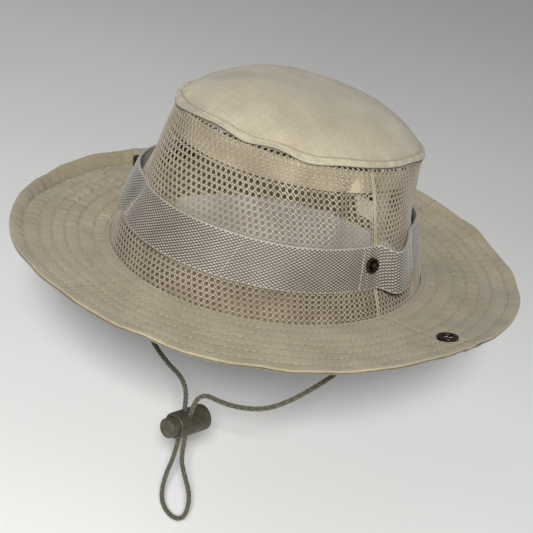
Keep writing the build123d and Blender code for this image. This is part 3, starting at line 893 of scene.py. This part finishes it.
# ---------------------------------------------------------------- inside of the crown
def inner_band(name, node, slot, shares, out, thick, turns, material, seed, wave=0.0, count=300):
    """A band inside the crown between two shares of the wall and two turns, with stitched hems."""
    low, high = shares
    closed = np.ptp(turns) > 2 * np.pi - 0.01
    turn = np.linspace(*turns, count, endpoint=not closed)[None, :]
    share = np.linspace(low, high, 26)[:, None]
    place = (share - low) / (high - low)
    hem = 0.3 * step(place, 0.86, 0.9) - 0.25 * bump(place, 0.85, 0.015) - 0.25 * bump(place, 0.1, 0.015)
    uneven = wave * ripples(turn * 85, share * 90, 30, seed) * step(place, 0.05, 0.5)
    inside = crown_out(turn, (share - 1) * WALL_RUN, out - thick - hem + uneven)
    outside = crown_out(turn, (share - 1) * WALL_RUN, out + uneven)
    points, faces = slab(inside, outside, closed)
    # Painted shade along the two hem lines
    groove = np.maximum(bump(place, 0.85, 0.02), bump(place, 0.1, 0.02)) + 0 * turn
    assign(mesh_piece(name, points, faces, material, "root", one_sided(groove)), slot, node)
    return inside


def crown_inside():
    """Sweatband, seam tapes and the blank size label."""
    ring = (0, 2 * np.pi)
    band = ("sweatband_cloth", (0.0, 0.392), -3.2, 0.8, ring, sweatband_cloth, 71, 0.5)
    inside = inner_band("sweatband_tape", "sweatband", *band)
    seams = []
    for row in (2, 22):
        line = closed_ring(inside[row])
        inwards = line * (-1, -1, 0)
        seams.append((line, inwards / np.linalg.norm(inwards, axis=1, keepdims=True)))
    assign(sew("sweatband_stitches", seams, khaki_thread, "root"), "sweatband_cloth")
    tape = ("binding_tape", (0.862, 0.985), -1.1, 0.6, ring, binding_tape, 72, 0.25)
    inner_band("seam_tape", "crown_seam_tape", *tape)
    half = 6.0 / WAIST_X
    for side, middle in (("left", 0.0), ("right", np.pi)):
        ends = (middle - half, middle + half)
        tape = ("binding_tape", (0.53, 0.855), -1.1, 0.6, ends, binding_tape, 73, 0.0, 14)
        inner_band(f"side_tape_{side}", f"crown_side_tape_{side}", *tape)
    half = 11.0 / SECTIONS[1, 1]
    ends = (QUARTER - half, QUARTER + half)
    label = ("label_tape", (0.125, 0.315), -4.35, 0.5, ends, label_tape, 74, 0.0, 30)
    inner_band("blank_label", "size_label", *label)


# ---------------------------------------------------------------- chin cord
def cord_curve():
    """The cord's route as one open NURBS spline."""
    right_side = [(-x, y, z) for x, y, z in reversed([CORD_START, *CORD_SIDE])]
    route = [CORD_START, *CORD_SIDE, *CORD_LOOP, *right_side]
    curve = bpy.data.curves.new("cord_route", "CURVE")
    curve.dimensions = "3D"
    curve.resolution_u = 24
    spline = curve.splines.new("NURBS")
    spline.points.add(len(route) - 1)
    for point, place in zip(spline.points, route):
        point.co = (*place, 1.0)
    spline.order_u = 3
    spline.use_endpoint_u = True
    return curve


def chin_cord():
    """Eight yarns braided over a core, along points read from the route's spline."""
    holder = bpy.data.objects.new("cord_route", cord_curve())
    bare = bpy.data.meshes.new_from_object(holder)
    path = np.array([v.co for v in bare.vertices])
    bpy.data.objects.remove(holder)
    steps = np.linalg.norm(np.diff(path, axis=0), axis=1)
    run = np.concatenate([[0], np.cumsum(steps)]) / MM
    at = np.arange(0, run[-1], 0.42)
    line = np.stack([np.interp(at, run, path[:, k]) for k in range(3)], 1) / MM
    for _ in range(4):
        line[1:-1] = (line[:-2] + line[1:-1] * 2 + line[2:]) / 4
    along = np.gradient(line, axis=0)
    along /= np.linalg.norm(along, axis=1, keepdims=True)
    aside = np.zeros_like(line)
    aside[0] = np.cross(along[0], (0, 1, 0))
    for k in range(1, len(line)):
        aside[k] = aside[k - 1] - along[k] * (aside[k - 1] @ along[k])
        aside[k] /= np.linalg.norm(aside[k])
    over = np.cross(along, aside)
    pitch = 11.0
    yarn_reach, yarn_arch = 1.06, 0.14
    yarn_radius, core_radius = 0.52, 0.95
    spin = 2 * np.pi * at / pitch
    lines, outward, shade = [], [], []
    for way in (1, -1):
        for k in range(4):
            angle = way * spin + k * QUARTER + (np.pi / 4 if way < 0 else 0)
            arch = way * np.sin(4 * spin + k * np.pi)
            out = aside * np.cos(angle)[:, None] + over * np.sin(angle)[:, None]
            lines.append(line + out * (yarn_reach + yarn_arch * arch)[:, None])
            outward.append(out)
            # Painted shade: each yarn is darker where it dips under the others
            shade.append(0.5 - 0.5 * arch)
    same = np.ones(len(line))
    piece = tubes("chin_cord_braid", lines, outward, yarn_radius * same, cord_yarn, "root", 5, 0.85, shade)
    assign(piece, "cord", "chin_cord")
    # The core is painted in full shade
    core = tubes("chin_cord_core", [line], [aside], core_radius * same, cord_yarn, "root", 6, 1.0, same)
    assign(core, "cord")


def cord_tabs():
    """The folded cloth tab that holds each end of the cord under the crown seam."""
    count = 14
    top, long = -2.7, 7.0
    for side, name in ((1, "left"), (-1, "right")):
        turn = np.linspace(0, 2 * np.pi, 48, endpoint=False)[None, :]
        drop = np.linspace(0, long, 16)[:, None]
        pinch = 1 - 0.25 * step(drop, 3.5, long)
        half_x = (2.75 * pinch + 0.15 * bump(drop, 2.5, 1.2)) * (0.85 + 0.15 * abs(np.cos(turn)))
        half_y = 4.4 * (1 - 0.1 * step(drop, 4, long))
        squareness = 0.75
        centre = np.array([side * CORD_START[0] / MM, CORD_START[1] / MM, 0])
        x = centre[0] + half_x * np.sign(np.cos(turn)) * abs(np.cos(turn)) ** squareness
        y = centre[1] + half_y * np.sign(np.sin(turn)) * abs(np.sin(turn)) ** squareness
        grid = np.stack([x, y, top - drop + 0 * turn], -1)
        inner = centre + (grid - centre) * np.array([0.72, 0.8, 1])
        points, faces = slab(grid, inner, True)
        piece = mesh_piece(f"cord_loop_tab_{name}", points, faces, tab_cloth, "root")
        assign(piece, "tab_cloth", f"cord_tab_{name}")
        seams = []
        for row in (4, 9):
            for face in (1, -1):
                y_line = np.linspace(-3.4, 3.4, count) + centre[1]
                x_line = np.full(count, centre[0] + face * 2.6)
                line = np.stack([x_line, y_line, np.full(count, grid[row, 0, 2])], 1)
                seams.append((line, np.tile([face, 0, 0], (count, 1))))
        piece = sew(f"cord_tab_stitches_{name}", seams, khaki_thread, "root", 0.22, 1.5, 0.6)
        assign(piece, "tab_cloth")


# ---------------------------------------------------------------- carried-over nodes
def repaint():
    """Better materials for the CAD nodes whose shape is right."""
    lock = moulded_plastic("lock_plastic", srgb(70, 67, 54), srgb(52, 50, 40))
    button = moulded_plastic("plunger_plastic", srgb(78, 74, 60), srgb(58, 55, 44))
    steel = spring_steel()
    looks = {"snap_metal": metal, "lock_plastic": lock, "plunger_plastic": button, "spring_steel": steel}
    slots = {part["node"]: part["material_slot"] for part in frame["record"]["subparts"]}
    for name, node in frame["nodes"].items():
        look = looks.get(slots.get(name))
        if look and not node.hide_render:
            node.data.materials.clear()
            node.data.materials.append(look)


# ---------------------------------------------------------------- stage
def stage():
    """Camera, soft lights, and a pale floor below the end of the hanging cord."""
    azimuth, elevation, roll = np.radians([38.93, 23.65, 13.67])
    distance = 0.81393
    right = Vector((np.cos(azimuth), np.sin(azimuth), 0))
    level = Vector((np.sin(azimuth), -np.cos(azimuth), 0))
    back = level * np.cos(elevation) + Vector((0, 0, np.sin(elevation)))
    up = back.cross(right)
    camera_x = right * np.cos(roll) + up * np.sin(roll)
    camera_y = up * np.cos(roll) - right * np.sin(roll)
    data = bpy.data.cameras.new("camera")
    data.lens = 90.75
    data.shift_x = -0.0051
    data.shift_y = -0.0324
    camera = bpy.data.objects.new("camera", data)
    bpy.context.collection.objects.link(camera)
    turned = Matrix((camera_x, camera_y, back)).transposed()
    camera.matrix_world = Matrix.Translation(back * distance) @ turned.to_4x4()
    bpy.context.scene.camera = camera

    floor_gap = 0.012
    reach = 8.0
    corners = [(-reach, -reach, 0), (reach, -reach, 0), (reach, reach, 0), (-reach, reach, 0)]
    mesh = bpy.data.meshes.new("floor")
    mesh.from_pydata(corners, [], [(0, 1, 2, 3)])
    floor = bpy.data.objects.new("floor", mesh)
    floor.location.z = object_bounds()[0].z - floor_gap
    look = Look("floor_paint", roughness=0.9, specular=0.1)
    tone = look.ramp(look.noise(3.0, 2.0), [(0.3, (0.86, 0.86, 0.85, 1)), (0.7, (0.9, 0.9, 0.89, 1))])
    mesh.materials.append(look.finish(tone))
    bpy.context.collection.objects.link(floor)
    floor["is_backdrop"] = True

    aim = Vector((0, 0, 0.03))
    for name, place, power, width in (
        ("key", (0.92, -1.14, 0.84), 38.0, 0.2),
        ("left", (-0.9, -0.7, 1.3), 3.0, 0.8),
    ):
        light = bpy.data.lights.new(name, "AREA")
        light.energy = power
        light.size = width
        lamp = bpy.data.objects.new(name, light)
        lamp.location = place
        lamp.rotation_mode = "QUATERNION"
        lamp.rotation_quaternion = (aim - Vector(place)).to_track_quat("-Z", "Y")
        bpy.context.collection.objects.link(lamp)
    world = bpy.data.worlds.new("studio")
    world.use_nodes = True
    background = world.node_tree.nodes["Background"]
    background.inputs["Color"].default_value = (1, 1, 1, 1)
    background.inputs["Strength"].default_value = 0.22
    bpy.context.scene.world = world
    bpy.context.scene.view_settings.view_transform = "Standard"


netting("netting_front", True)
netting("netting_back", False)
crown_seams()
tip_panel()
hatband()
brim_half(True)
brim_half(False)
crown_inside()
chin_cord()
cord_tabs()
repaint()
stage()
